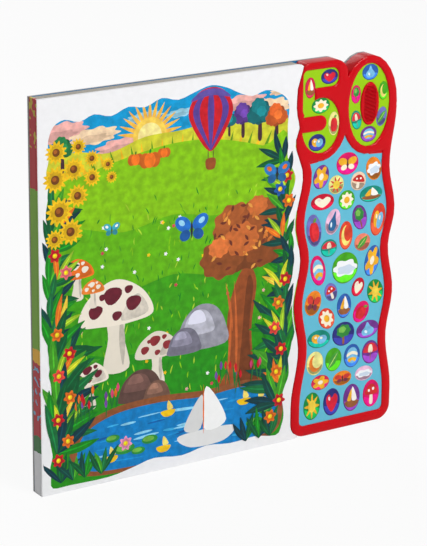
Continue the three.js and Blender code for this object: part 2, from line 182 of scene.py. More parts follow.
def show_white(tree, base, output, share=1.0):
    """Lets the camera and mirrors see white in place of the lit surface."""
    rays = new_node(tree, "ShaderNodeLightPath").outputs
    seen = Wire(rays["Is Camera Ray"]) + Wire(rays["Is Glossy Ray"]) + Wire(rays["Is Transmission Ray"])
    kind = "ShaderNodeBackground" if base.bl_idname == "ShaderNodeBackground" else "ShaderNodeEmission"
    white = new_node(tree, kind, {"Color": WHITE_LIGHT, "Strength": 1.0})
    sockets = {0: seen * share, 1: Wire(base.outputs[0]), 2: Wire(white.outputs[0])}
    mix = new_node(tree, "ShaderNodeMixShader", sockets)
    tree.links.new(mix.outputs[0], output.inputs["Surface"])


photo_camera()
area_light("key_light", (0.5, -2.1, 1.5), 1.2, 45)
area_light("fill_light", (-1.3, -1.4, 1.3), 1.4, 1.8)
area_light("back_light", (0.2, 1.6, 1.5), 1.4, 14)

world = bpy.data.worlds.new("studio")
world.use_nodes = True
bpy.context.scene.world = world
dome = world.node_tree.nodes["Background"]
dome.inputs["Color"].default_value = WHITE_LIGHT
dome.inputs["Strength"].default_value = DOME_STRENGTH
show_white(world.node_tree, dome, world.node_tree.nodes["World Output"])
bpy.context.scene.view_settings.view_transform = "Standard"

bm = bmesh.new()
bmesh.ops.create_circle(bm, cap_ends=True, segments=64, radius=FLOOR_RADIUS)
floor_mesh = bpy.data.meshes.new("floor")
bm.to_mesh(floor_mesh)
bm.free()
floor = bpy.data.objects.new("floor", floor_mesh)
bpy.context.scene.collection.objects.link(floor)
floor_finish = Finish("floor", 0.9, specular=0.1).paint(FLOOR_COLOUR)
show_white(floor_finish.tree, floor_finish.shader, floor_finish.tree.nodes["Material Output"],
           FLOOR_WHITENESS)
floor_mesh.materials.append(floor_finish.material)


# Front cover: white gloss board, 2 mm thick. Its printed edge at the spine follows the spine.
# The CAD board is kept, with its edges eased by a bevel. Its inner face is printed too.
EASED = 0.25 * MM
COVER_INSIDE = -4.1 * MM


def linear(rgb, gain=1.0):
    def channel(value):
        value = min(1.0, value / 255 * gain)
        return value / 12.92 if value <= 0.04045 else ((value + 0.055) / 1.055) ** 2.4
    return (*(channel(value) for value in rgb), 1.0)


def share_of_height(finish):
    return finish.z * (1 / (BOOK_HEIGHT * MM))


def bands_of_spine(finish):
    height = share_of_height(finish) + (finish.noise(150.0) - 0.5) * 0.02
    flowered = (finish.noise(190.0, 1.0) > 0.56) * (finish.z > 0.262)
    banded = height.bands([
        (0.0, linear((226, 226, 228))),
        (0.112, linear((30, 105, 40))),
        (0.15, linear((182, 18, 32))),
        (0.343, linear((238, 178, 20))),
        (0.377, linear((116, 168, 24))),
        (0.78, linear((186, 20, 30))),
    ])
    dotted = (finish.noise(230.0, 0.0) > 0.64) * (finish.z < 0.1) * (finish.z > 0.05)
    return dotted.mix(flowered.mix(banded, linear((196, 176, 40))), linear((120, 170, 200)))


def ease_edges(node):
    bevel = nodes[node].modifiers.new("eased", "BEVEL")
    bevel.width = EASED
    bevel.segments = 2
    bevel.limit_method = "ANGLE"
    bevel.angle_limit = math.radians(40)


def dress(node, finish):
    nodes[node].data.materials.clear()
    nodes[node].data.materials.append(finish.material)


def scenery(finish, stretch=14.0):
    wave = share_of_height(finish) + (finish.noise(stretch) - 0.5) * 0.16
    tone = wave.bands([
        (0.0, linear((22, 122, 176))),
        (0.16, linear((34, 122, 40))),
        (0.3, linear((58, 148, 30))),
        (0.46, linear((92, 166, 22))),
        (0.66, linear((150, 196, 26))),
        (0.76, linear((238, 190, 60))),
        (0.79, linear((132, 204, 226))),
        (0.9, linear((14, 138, 186))),
    ])
    speckle = (finish.noise(230.0, 3.0) - 0.4) * 2.4
    return (speckle * 0.22).mix(tone, linear((24, 84, 50)))


cover_finish = Finish("cover_board", 0.4, coat=0.05, specular=0.2)
at_spine = cover_finish.x < SPINE_X + 0.05 * MM
inner_face = cover_finish.y > COVER_INSIDE
board_tone = inner_face.mix(linear((238, 238, 240)), scenery(cover_finish))
cover_finish.paint(at_spine.mix(board_tone, bands_of_spine(cover_finish)))
dress("front_cover", cover_finish)
ease_edges("front_cover")


# Cover print: flat inked shapes, each a few microns in front of the last.
# Generic scenery in bright greens and blues. Every ink is gloss over board, with a faint mottle.
COVER_FRONT = -6.05 * MM
INK_STEP = 0.003 * MM
WAVY_EDGE_FROM = 205
EDGE_GAP = 1.4
FILM_BLUE, FILM_LIME = (100, 188, 214), (152, 206, 8)
inks = {}


def ink(rgb):
    if rgb not in inks:
        plain = min(rgb) > 200 or rgb in (FILM_BLUE, FILM_LIME)
        mottle = 0.008 if plain else 0.09
        finish = Finish("ink_%d_%d_%d" % rgb, 0.42, coat=0.05, specular=0.16)
        spread = (finish.noise(170.0, 4.0) - 0.36) * 3.4
        finish.paint(spread.mix(linear(rgb, 1 - mottle), linear(rgb, 1 + mottle * 0.7)))
        inks[rgb] = finish.material
    return inks[rgb]


def cover_edge():
    found = {}
    for vertex in nodes["front_cover"].data.vertices:
        x, z = (vertex.co.x - SPINE_X) / MM, vertex.co.z / MM
        if x > WAVY_EDGE_FROM:
            found[round(z, 2)] = max(x, found.get(round(z, 2), 0))
    return sorted(found.items())


EDGE = cover_edge()


def edge_at(z):
    for (z0, x0), (z1, x1) in zip(EDGE, EDGE[1:]):
        if z0 <= z <= z1:
            return x0 + (x1 - x0) * (z - z0) / (z1 - z0)
    return EDGE[-1][1]


def ring(cx, cz, rx, rz, steps=28, lean=0.0, waves=0, depth=0.0, phase=0.0):
    """An oval outline, wavy where waves and depth are given."""
    points = []
    turn = math.radians(lean)
    for i in range(steps):
        a = math.tau * i / steps
        grow = 1 + depth * math.cos(waves * a + phase)
        u, v = rx * grow * math.cos(a), rz * grow * math.sin(a)
        points.append((cx + u * math.cos(turn) - v * math.sin(turn),
                       cz + u * math.sin(turn) + v * math.cos(turn)))
    return points


def curve(points, steps=5):
    """A smooth closed line through the points."""
    out = []
    count = len(points)
    for i in range(count):
        p0, p1, p2, p3 = (points[(i + k) % count] for k in (-1, 0, 1, 2))
        for s in range(steps):
            t = s / steps
            out.append(tuple(0.5 * (2 * p1[a] + (p2[a] - p0[a]) * t
                                    + (2 * p0[a] - 5 * p1[a] + 4 * p2[a] - p3[a]) * t * t
                                    + (3 * p1[a] - p0[a] - 3 * p2[a] + p3[a]) * t ** 3)
                             for a in (0, 1)))
    return out


def blade(x, z, length, width, angle, bend=0.0, steps=8):
    """A slim leaf from its root at x, z, turning by bend as it goes."""
    sides = ([], [])
    turn = math.radians(angle)
    for i in range(steps + 1):
        t = i / steps
        a = turn + math.radians(bend) * t
        half = width / 2 * math.sin(math.pi * min(1, t * 0.92 + 0.06))
        for side, sign in zip(sides, (1, -1)):
            side.append((x - math.sin(a) * half * sign, z + math.cos(a) * half * sign))
        x, z = x + math.cos(a) * length / steps, z + math.sin(a) * length / steps
    return sides[0] + sides[1][::-1]


def scaled(points, x, z, wide, tall):
    return [(x + wide * u, z + tall * v) for u, v in points]


def shaded(rgb, gain):
    return tuple(max(0, min(255, round(value * gain))) for value in rgb)


def fill(bm, loops, material_index):
    """A flat inked face inside the first loop of points, less the others, facing the reader."""
    edges = []
    for loop in loops:
        verts = [bm.verts.new(point) for point in loop]
        edges += [bm.edges.new(pair) for pair in zip(verts, verts[1:] + verts[:1])]
    made = bmesh.ops.triangle_fill(
        bm, use_beauty=True, use_dissolve=False, edges=edges, normal=(0, -1, 0))
    for face in made["geom"]:
        if isinstance(face, bmesh.types.BMFace):
            face.material_index = material_index
            if face.normal.y > 0:
                face.normal_flip()


def new_object(bm, name, materials):
    """An object of its own from a bmesh, which is then freed."""
    mesh = bpy.data.meshes.new(name)
    bm.to_mesh(mesh)
    bm.free()
    for material in materials:
        mesh.materials.append(material)
    made = bpy.data.objects.new(name, mesh)
    bpy.context.scene.collection.objects.link(made)
    return made


# A sheet of flat shapes, each a step in front of those it lies over.
class Print:
    def __init__(self, name, base, trim=list):
        self.name = name
        self.base = base
        self.trim = trim
        self.bm = bmesh.new()
        self.boxes = []
        self.colours = []

    def level_over(self, points):
        left, right = min(x for x, z in points), max(x for x, z in points)
        low, high = min(z for x, z in points), max(z for x, z in points)
        under = [box[4] for box in self.boxes
                 if left < box[1] and right > box[0] and low < box[3] and high > box[2]]
        level = 1 + max(under, default=0)
        self.boxes.append((left, right, low, high, level))
        return level

    def add(self, points, rgb, holes=()):
        if rgb not in self.colours:
            self.colours.append(rgb)
        points = self.trim(points)
        y = self.base - INK_STEP * self.level_over(points)
        loops = [[(SPINE_X + x * MM, y, z * MM) for x, z in loop] for loop in (points, *holes)]
        fill(self.bm, loops, self.colours.index(rgb))

    def build(self, body):
        made = new_object(self.bm, self.name, [ink(rgb) for rgb in self.colours])
        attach(made, body)


SKY, FIELD, LIME = (6, 150, 206), (60, 156, 16), (132, 194, 14)
GREEN, DEEP, POND = (22, 128, 28), (6, 84, 44), (10, 126, 196)
CREAM, MAROON, BROWN = (240, 230, 214), (104, 28, 44), (150, 76, 36)
ORANGE, RED, YELLOW = (232, 110, 30), (200, 24, 38), (248, 196, 24)
WHITE, PINK = (246, 246, 246), (240, 178, 170)
PURPLE, TEAL, BLUE = (88, 54, 134), (16, 106, 112), (30, 92, 178)


def flower(sheet, x, z, size, petal, heart, petals=9):
    sheet.add(ring(x, z, size, size, 54, 0, petals, 0.2, x), petal)
    sheet.add(ring(x, z, size * 0.72, size * 0.72, 36, 0, petals, 0.12, x + 1), shaded(petal, 0.86))
    sheet.add(ring(x, z, size * 0.4, size * 0.4, 18), heart)
    sheet.add(ring(x - size * 0.08, z + size * 0.08, size * 0.2, size * 0.2, 12), shaded(heart, 1.45))


def fan(sheet, x, z, count, length, width, start, stop, colours, rng):
    for i in range(count):
        angle = start + (stop - start) * (i + 0.5) / count + rng.uniform(-7, 7)
        reach = length * rng.uniform(0.75, 1.1)
        shade = rng.choice(colours)
        bend = rng.uniform(-25, 25)
        sheet.add(blade(x, z, reach, width, angle, bend), shade)
        sheet.add(blade(x, z, reach * 0.86, width * 0.16, angle, bend), shaded(shade, 1.35))


def toadstool(sheet, x, z, size, cap, spots):
    def at(points):
        return scaled(points, x, z, size, size)
    stem = [(-0.2, 0), (0.22, 0), (0.14, 0.5), (0.16, 0.9), (-0.15, 0.9), (-0.13, 0.5)]
    sheet.add(curve(at(stem)), shaded(CREAM, 0.96))
    sheet.add(blade(x + size * 0.12, z + size * 0.06, size * 0.8, size * 0.1, 92), shaded(CREAM, 0.8))
    dome = [(-0.62, 0.78), (-0.2, 0.7), (0.25, 0.7), (0.64, 0.8), (0.46, 1.18), (0, 1.4), (-0.46, 1.16)]
    sheet.add(curve(at(dome), 7), cap)
    sheet.add(curve(at([(0.1, 0.75), (0.55, 0.82), (0.4, 1.12), (0.2, 1.0)])), shaded(cap, 0.88))
    for dx, dz, r in ((-0.34, 0.95, 0.1), (-0.05, 1.16, 0.13), (0.3, 1.0, 0.11), (0.02, 0.84, 0.07),
                      (-0.22, 1.16, 0.05), (0.22, 1.22, 0.06)):
        sheet.add(ring(x + size * dx, z + size * dz, size * r * 1.2, size * r, 16, 20, 3, 0.08), spots)


def tree(sheet, x, z, height, crown, trunk):
    stem = [(-0.05, 0), (0.06, 0), (0.03, 0.6), (-0.03, 0.6)]
    sheet.add(curve(scaled(stem, x, z, height, height)), trunk)
    for dx, dz, r, gain in ((0, 0.62, 0.3, 0.8), (-0.16, 0.55, 0.2, 0.95), (0.15, 0.58, 0.2, 1.0),
                            (-0.04, 0.78, 0.2, 1.15), (0.04, 0.64, 0.13, 1.35)):
        clump = ring(x + height * dx, z + height * dz, height * r, height * r * 0.95,
                     40, 0, 7, 0.07, dx * 9)
        sheet.add(clump, shaded(crown, gain))


def rock(sheet, x, z, width, height, rgb):
    outline = scaled([(-0.5, 0), (0.5, 0), (0.52, 0.45), (0.3, 0.9), (-0.08, 1), (-0.4, 0.72),
                      (-0.54, 0.3)], x, z, width, height)
    sheet.add(curve(outline), rgb)
    sheet.add(curve([(px * 0.6 + x * 0.4 - width * 0.08, pz * 0.55 + (z + height * 0.75) * 0.45)
                     for px, pz in outline]), shaded(rgb, 1.25))
    sheet.add(curve([(px * 0.34 + x * 0.66 - width * 0.12, pz * 0.3 + (z + height * 0.84) * 0.7)
                     for px, pz in outline]), shaded(rgb, 1.5))


def butterfly(sheet, x, z, size, wing, tips):
    parts = ((0.5, 0.35, 0.5, 0.36, 24, 35, wing),
             (0.38, -0.25, 0.32, 0.28, 20, -30, shaded(wing, 0.8)),
             (0.58, 0.42, 0.2, 0.14, 16, 35, tips))
    for side in (-1, 1):
        for across, up, rx, rz, steps, lean, rgb in parts:
            oval = ring(x + side * size * across, z + size * up, size * rx, size * rz, steps,
                        side * lean)
            sheet.add(oval, rgb)
    sheet.add(blade(x, z - size * 0.45, size * 0.95, size * 0.13, 90), (40, 34, 50))


def on_cover(points):
    """Keeps a shape on the board, clear of its edges."""
    trimmed = []
    for x, z in points:
        z = min(max(z, EDGE_GAP), BOOK_HEIGHT - EDGE_GAP)
        trimmed.append((min(max(x, EDGE_GAP), edge_at(z) - EDGE_GAP), z))
    return trimmed


rng = random.Random(50)
cover = Print("cover_print", COVER_FRONT, trim=on_cover)

# Sky, clouds and low sun
cover.add([(6, 190), (6, 294), (216, 294), (216, 190)], SKY)
CLOUDS = ((20, 274, 20, 7), (46, 268, 20, 6), (88, 277, 15, 3.4), (172, 277, 20, 6),
          (196, 270, 18, 7), (118, 276, 12, 3), (72, 258, 24, 6), (208, 282, 12, 3))
for i, (x, z, rx, rz) in enumerate(CLOUDS):
    tone = (PINK, (250, 214, 176), (150, 205, 226))[i % 3]
    cover.add(ring(x, z, rx, rz, 56, 4, 9, 0.12, i), tone)
    cover.add(ring(x - 3, z - rz * 0.35, rx * 0.75, rz * 0.5, 40, 4, 7, 0.14, i), shaded(tone, 0.88))
for i in range(13):
    cover.add(blade(92, 262, 27, 3.2, 8 + i * 13.6), (250, 186, 70))
cover.add(ring(92, 262, 14, 14, 40), (252, 206, 84))
cover.add(ring(92, 262, 10, 10, 36), (255, 232, 150))

# Far hills with crop rows
cover.add(curve([(4, 190), (4, 252), (30, 258), (58, 254), (88, 262), (118, 263), (150, 266),
                 (182, 262), (216, 256), (216, 190)]), (206, 206, 50))
for i in range(24):
    cover.add(blade(30 + i * 7.4, 226, 34 - 6 * abs(i - 12) / 12, 3.0, 118 - i * 2.5, 0),
              (92, 150, 24) if i % 2 else (238, 184, 30))
for x, z, h, crown in ((172, 252, 26, PURPLE), (187, 248, 32, TEAL), (202, 246, 28, (200, 90, 36)),
                       (160, 254, 18, TEAL), (20, 246, 26, (30, 110, 60))):
    tree(cover, x, z, h, crown, (70, 40, 50))

# Near field in four greens, from lime under the hills to deep green at the pond
cover.add(curve([(3, 3), (3, 226), (30, 238), (70, 248), (112, 254), (150, 252), (190, 242), (216, 232),
                 (216, 3)]), LIME)
for top, rgb in ((196, (98, 178, 12)), (150, FIELD), (100, (36, 142, 20))):
    cover.add(curve([(3, 3), (3, top), (30, top + 5), (70, top - 3), (112, top + 4), (150, top - 2),
                     (190, top + 3), (216, top - 2), (216, 3)]), rgb)
for i in range(300):
    x, z = rng.uniform(30, 200), rng.uniform(56, 214)
    shade = rng.choice((LIME, FIELD, GREEN, (170, 208, 50), (74, 150, 30)))
    cover.add(blade(x, z, rng.uniform(3, 7.5), rng.uniform(0.7, 1.3), rng.uniform(60, 120),
                    rng.uniform(-40, 40), 5), shade)
for i in range(60):
    x, z = rng.uniform(30, 200), rng.uniform(60, 200)
    cover.add(ring(x, z, 1.3, 1.3, 20, 0, 5, 0.3), rng.choice((WHITE, YELLOW, PINK, (214, 60, 90))))

# A striped balloon over the hills
cover.add(curve([(140, 246), (148, 246), (160, 264), (163, 276), (156, 288), (144, 292), (132, 288),
                 (125, 276), (128, 264)], 8), RED)
for dx in (-11.5, 0.0, 11.5):
    cover.add(curve([(144 + dx * 0.12 - 0.8, 247), (144 + dx * 0.12 + 0.8, 247), (144 + dx + 2.6, 268),
                     (144 + dx + 2.6, 280), (144 + dx * 0.3 + 1, 290), (144 + dx * 0.3 - 1, 290),
                     (144 + dx - 2.6, 280), (144 + dx - 2.6, 268)]), (90, 64, 150))
cover.add(curve([(127, 283), (134, 289), (144, 291), (154, 289), (161, 283), (144, 286)]),
          (96, 78, 160))
for dx in (-3.2, 3.2):
    cover.add(blade(144 + dx * 0.7, 237, 9, 0.7, 90), (90, 50, 40))
cover.add(curve([(140, 238), (148, 238), (147.4, 230.5), (140.6, 230.5)], 4), BROWN)

# Pumpkins, a butterfly and toadstools in the field
for x, z, size in ((80, 246, 6), (92, 244, 8), (104, 248, 5)):
    for dx in (-0.5, 0.5, 0):
        cover.add(ring(x + dx * size, z, size * 0.6, size * 0.72, 24),
                  shaded(ORANGE, 0.86 + 0.2 * (dx == 0)))
    cover.add(blade(x, z + size * 0.6, size * 0.5, size * 0.22, 80), GREEN)
butterfly(cover, 128, 186, 15, (34, 110, 200), (150, 210, 240))
butterfly(cover, 60, 196, 7, (60, 170, 190), WHITE)
toadstool(cover, 63, 88, 50, CREAM, MAROON)
toadstool(cover, 98, 70, 30, shaded(CREAM, 0.94), (140, 44, 50))
toadstool(cover, 40, 62, 26, CREAM, MAROON)
toadstool(cover, 31, 148, 22, ORANGE, CREAM)
toadstool(cover, 44, 140, 15, (236, 130, 50), CREAM)

# Brown tree with a russet crown, and boulders at its foot
cover.add(curve([(150, 48), (196, 48), (186, 64), (182, 100), (186, 136), (178, 150), (168, 140),
                 (160, 110), (162, 74)], 7), BROWN)
cover.add(curve([(172, 50), (192, 50), (184, 66), (180, 100), (183, 134), (178, 140), (174, 100)], 6),
          shaded(BROWN, 0.76))
for x, z, length, angle in ((160, 58, 70, 84), (168, 56, 84, 88), (165, 100, 40, 96)):
    cover.add(blade(x, z, length, 2.2, angle, 8), shaded(BROWN, 1.32))
for x, z, r, gain in ((176, 170, 27, 0.74), (155, 160, 19, 0.9), (194, 164, 19, 0.86),
                      (166, 184, 19, 1.08), (188, 188, 17, 0.98), (172, 172, 15, 1.25),
                      (152, 168, 9, 1.42), (186, 196, 9, 1.3)):
    cover.add(ring(x, z, r, r * 0.86, 60, 10, 9, 0.07, x), shaded((158, 84, 40), gain))
for i in range(46):
    angle, reach = rng.uniform(0, math.tau), rng.uniform(3, 25)
    leaf = blade(174 + reach * 1.25 * math.cos(angle), 174 + reach * math.sin(angle), 5.5, 2.4,
                 rng.uniform(0, 360), 20, 5)
    cover.add(leaf, rng.choice(((214, 120, 50), (110, 50, 34), (234, 160, 70))))
rock(cover, 138, 92, 40, 34, (150, 150, 162))
rock(cover, 122, 90, 26, 20, (116, 114, 130))
rock(cover, 84, 60, 34, 24, (92, 66, 60))
rock(cover, 98, 58, 20, 15, (116, 84, 70))

# Pond with its bank, lily pads, a white boat and small yellow boats
cover.add(curve([(24, 20), (30, 46), (60, 58), (100, 60), (140, 57), (180, 58), (206, 48), (212, 26),
                 (200, 8), (150, 5), (90, 5), (40, 8)], 8), (142, 82, 46))
cover.add(curve([(30, 22), (36, 42), (62, 53), (100, 55), (140, 52), (178, 53), (202, 44), (207, 26),
                 (196, 11), (150, 8), (90, 8), (44, 11)], 8), POND)
for i in range(34):
    x, z = rng.uniform(44, 186), rng.uniform(14, 47)
    cover.add(ring(x, z, rng.uniform(5, 15), rng.uniform(0.5, 1.2), 18, rng.uniform(-4, 4)),
              rng.choice(((60, 176, 232), (8, 92, 164), (140, 210, 240), (24, 146, 214))))
for x, z, r in ((70, 24, 9), (82, 20, 6), (92, 27, 7), (60, 34, 6), (186, 22, 8), (196, 30, 6)):
    cover.add(ring(x, z, r, r * 0.5, 24), (40, 140, 60))
    cover.add(ring(x - 1, z + 0.6, r * 0.7, r * 0.3, 20), (110, 180, 70))
flower(cover, 71, 28, 5, (240, 150, 190), YELLOW, 7)
cover.add(curve([(118, 24), (166, 24), (158, 13), (128, 13)], 6), shaded(WHITE, 0.92))
cover.add(curve([(140, 26), (142, 60), (160, 30)], 6), WHITE)
cover.add(curve([(137, 27), (138, 54), (122, 29)], 6), shaded(WHITE, 0.88))
cover.add(blade(139.5, 22, 40, 1.2, 90), ORANGE)
for x, z in ((58, 17), (104, 16), (176, 40), (190, 38), (108, 44)):
    cover.add(curve([(x - 6, z + 3), (x + 6, z + 3), (x + 3.4, z - 1.4), (x - 3.4, z - 1.4)], 4),
              YELLOW)
    cover.add(curve([(x - 0.6, z + 4), (x + 0.2, z + 11), (x + 4.5, z + 4.6)], 4), (255, 222, 110))

# White margin with a wavy inner edge, which trims the scene
MARGIN_GAP = 0.35
outer = [(MARGIN_GAP, MARGIN_GAP), (222, MARGIN_GAP)]
outer += [(edge_at(z) - MARGIN_GAP, z) for z in range(3, 296, 3)]
outer += [(219, 299.2), (MARGIN_GAP, BOOK_HEIGHT - MARGIN_GAP)]
inner = [(9, 5), (24, 4.5), (56, 4), (78, 7.5), (96, 11), (120, 8), (142, 11.5), (164, 9), (186, 10),
         (206, 7)]
inner += [(edge_at(z) - 8 - 1.5 * math.sin(z * 0.2), z) for z in range(14, 246, 8)]
inner += [(212, 256), (213, 266), (211, 275), (203, 281), (192, 284), (180, 281), (168, 285),
          (158, 290), (144, 293.5), (130, 290), (116, 286), (102, 289), (88, 284), (74, 286),
          (60, 281), (46, 284), (34, 280), (22, 283), (13, 279), (9, 270)]
inner += [(8 + 1.2 * math.sin(z * 0.25), z) for z in range(262, 10, -8)]
inner = curve(inner, 3)
cover.trim = list
cover.add(outer, (240, 240, 242), holes=[inner])
cover.trim = on_cover

# Leafy borders and flowers that break over the margin
GREENS = [GREEN, DEEP, (20, 104, 54), (64, 150, 34), (8, 66, 58), (6, 52, 62)]
BRIGHT = [(196, 206, 40), (238, 196, 60), (232, 112, 30), (150, 190, 40)]
for z in range(214, 20, -13):
    low = z < 118
    fan(cover, 11 + 3 * math.sin(z), z, 5 if low else 4, 38 if low else 26, 7.5 if low else 5.6,
        -10, 115, GREENS, rng)
    if z % 3 == 0:
        fan(cover, 14, z + 4, 3, 26, 4.4, 20, 100, BRIGHT, rng)
for z in range(228, 20, -13):
    low = z < 104
    fan(cover, edge_at(z) - 11 - 3 * math.sin(z), z, 5 if low else 4, 36 if low else 24,
        7.0 if low else 5.4, 65, 190, GREENS, rng)
    if z % 3 == 1:
        fan(cover, edge_at(z) - 14, z + 4, 3, 24, 4.2, 80, 150, BRIGHT, rng)
for x in (16, 26, 36, 50, 178, 190, 200):
    fan(cover, x, 8, 4, 24, 4.4, 40, 140, GREENS, rng)
for i in range(26):
    side = i % 2
    x = rng.uniform(150, 196) if side else rng.uniform(28, 66)
    z, tall = rng.uniform(48, 60), rng.uniform(10, 22)
    cover.add(blade(x, z, tall, 1.1, 90 + rng.uniform(-12, 12)), (30, 110, 50))
    cover.add(blade(x, z + tall * 0.7, 7, 2.6, 90),
              rng.choice((RED, ORANGE, (210, 60, 110), (120, 70, 160))))
for z, x, petal in ((58, 14, RED), (74, 24, ORANGE), (92, 15, (236, 70, 60)), (108, 24, RED),
                    (124, 14, ORANGE), (40, 22, ORANGE), (26, 14, RED), (184, 13, RED),
                    (170, 22, (240, 110, 120))):
    flower(cover, x, z, 4.6, petal, YELLOW, 6)
for z, x, petal in ((60, 205, ORANGE), (78, 209, RED), (96, 203, (236, 70, 60)), (116, 206, ORANGE),
                    (134, 212, RED), (36, 208, RED), (24, 200, ORANGE), (206, 206, BLUE),
                    (196, 214, ORANGE), (216, 212, RED)):
    flower(cover, x, z, 4.8, petal, YELLOW, 6)
for x, z, size in ((17, 216, 9.5), (32, 226, 7.5), (14, 240, 8.5), (29, 246, 7.5), (15, 260, 7.5),
                   (44, 238, 6), (44, 252, 5.2), (33, 262, 5.4), (57, 246, 4.4), (60, 236, 4),
                   (26, 200, 8.5), (13, 196, 6.5)):
    flower(cover, x, z, size, YELLOW, (112, 62, 22), 13)
butterfly(cover, 203, 218, 12, (44, 120, 190), ORANGE)
cover.build("cover")


# Spine: a board strip printed in bands of red, lime and red, pale at its foot.
# It turns with the pages. The CAD strip is kept.
spine_finish = Finish("spine_print", 0.4, coat=0.05, specular=0.2)
spine_finish.paint(bands_of_spine(spine_finish))
dress("spine", spine_finish)


# Page block: thick board leaves with raw grey-brown edges, printed on their faces.
# The CAD block is kept; its grooves part the leaves, and a fine grain runs along the edges.
FIRST_PAGE, LAST_PAGE = -3.7 * MM, 5.2 * MM
page_finish = Finish("page_board", 0.75, specular=0.3)
fibre = page_finish.noise(900.0, 4.0)
paper = fibre.mix(linear((150, 142, 130)), linear((206, 200, 190)))
printed = (page_finish.y < FIRST_PAGE) + (page_finish.y > LAST_PAGE)
page_finish.paint(printed.mix(paper, scenery(page_finish, 11.0)))
page_finish.bump(fibre, 0.25, 0.1 * MM)
dress("page_block", page_finish)


# Back cover: one board that runs on behind the case, blue inside, printed outside, grey at its edges.
# The CAD board is kept, with its edges eased.
BACK_INSIDE, BACK_OUTSIDE = 5.6 * MM, 7.5 * MM
SKY_ABOVE = 0.27
back_finish = Finish("back_board", 0.42, coat=0.05, specular=0.2)
inside = back_finish.y < BACK_INSIDE
outside = back_finish.y > BACK_OUTSIDE
edge_tone = back_finish.noise(700.0).mix(linear((120, 116, 112)), linear((176, 172, 168)))
outer_tone = outside.mix(edge_tone, scenery(back_finish))
seen_behind = (back_finish.z > SKY_ABOVE).mix(scenery(back_finish, 9.0), linear((14, 116, 168)))
back_finish.paint(inside.mix(outer_tone, seen_behind))
dress("back_cover", back_finish)
ease_edges("back_cover")


# Sound case: glossy red injection-moulded shells.
# Each is a copy of its CAD node with merged corners and smooth, weighted normals.
MERGE_DISTANCE = 0.002 * MM
SHARP_EDGE = math.radians(50)
red_finish = Finish("red_plastic", 0.16, specular=0.13)
red_finish.paint(red_finish.noise(60.0).mix(linear((196, 0, 14)), linear((210, 0, 19))))


def smooth(bm):
    for face in bm.faces:
        face.smooth = True
        face.material_index = 0
    for edge in bm.edges:
        edge.smooth = len(edge.link_faces) == 2 and edge.calc_face_angle() < SHARP_EDGE


def smooth_copy(node):
    bm = bmesh.new()
    bm.from_mesh(nodes[node].data)
    bmesh.ops.remove_doubles(bm, verts=bm.verts, dist=MERGE_DISTANCE)
    bmesh.ops.dissolve_limit(bm, angle_limit=math.radians(0.4), verts=bm.verts, edges=bm.edges)
    smooth(bm)
    made = new_object(bm, node + "_smooth", [red_finish.material])
    weigh = made.modifiers.new("weighted", "WEIGHTED_NORMAL")
    weigh.keep_sharp = True
    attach(made, "back")
    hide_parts(node)


smooth_copy("rear_case")
smooth_copy("battery_door")


# Front moulding: the rounded bezel round the three windows, over the CAD node's skirt.
# Its face is a fine mesh, raised by the distance to the nearest edge, so that it swells like a bead.
BEZEL_CUT = -6.27 * MM
BEZEL_RISE = 1.28 * MM
RIM_STEP = 1.4 * MM
RIM_MERGE = 0.01 * MM
OUTER_REACH, WINDOW_REACH = 4.2 * MM, 3.0 * MM
OFFSETS = [d * MM for d in (0.08, 0.22, 0.45, 0.8, 1.25, 1.8, 2.4, 3.1, 3.9)]
OFFSET_SHARE = 0.94
GRID_STEP, GRID_COLUMNS, GRID_ROWS = 2 * MM, 48, 150
GRID_CLEAR = 4.3 * MM
NEAREST_RIMS = 6
SAME_DISTANCE = 1e-8
FLAT_SCALE = 1000


def rims_of(bm):
    """The open edges, split short, their vertices, and those of the outer rim among them."""
    for edge in [e for e in bm.edges if len(e.link_faces) == 1]:
        parts = math.ceil(edge.calc_length() / RIM_STEP)
        for left in range(parts, 1, -1):
            start, end = edge.verts
            made = bmesh.utils.edge_split(edge, start, 1 / left)[0]
            edge = made if end in made.verts else edge
    rim = [e for e in bm.edges if len(e.link_faces) == 1]
    verts = list({v for e in rim for v in e.verts})
    lowest = min(verts, key=lambda v: v.co.z)
    outer, queue = {lowest}, [lowest]
    while queue:
        for edge in queue.pop().link_edges:
            if len(edge.link_faces) == 1:
                for vertex in edge.verts:
                    if vertex not in outer:
                        outer.add(vertex)
                        queue.append(vertex)
    return rim, verts, outer


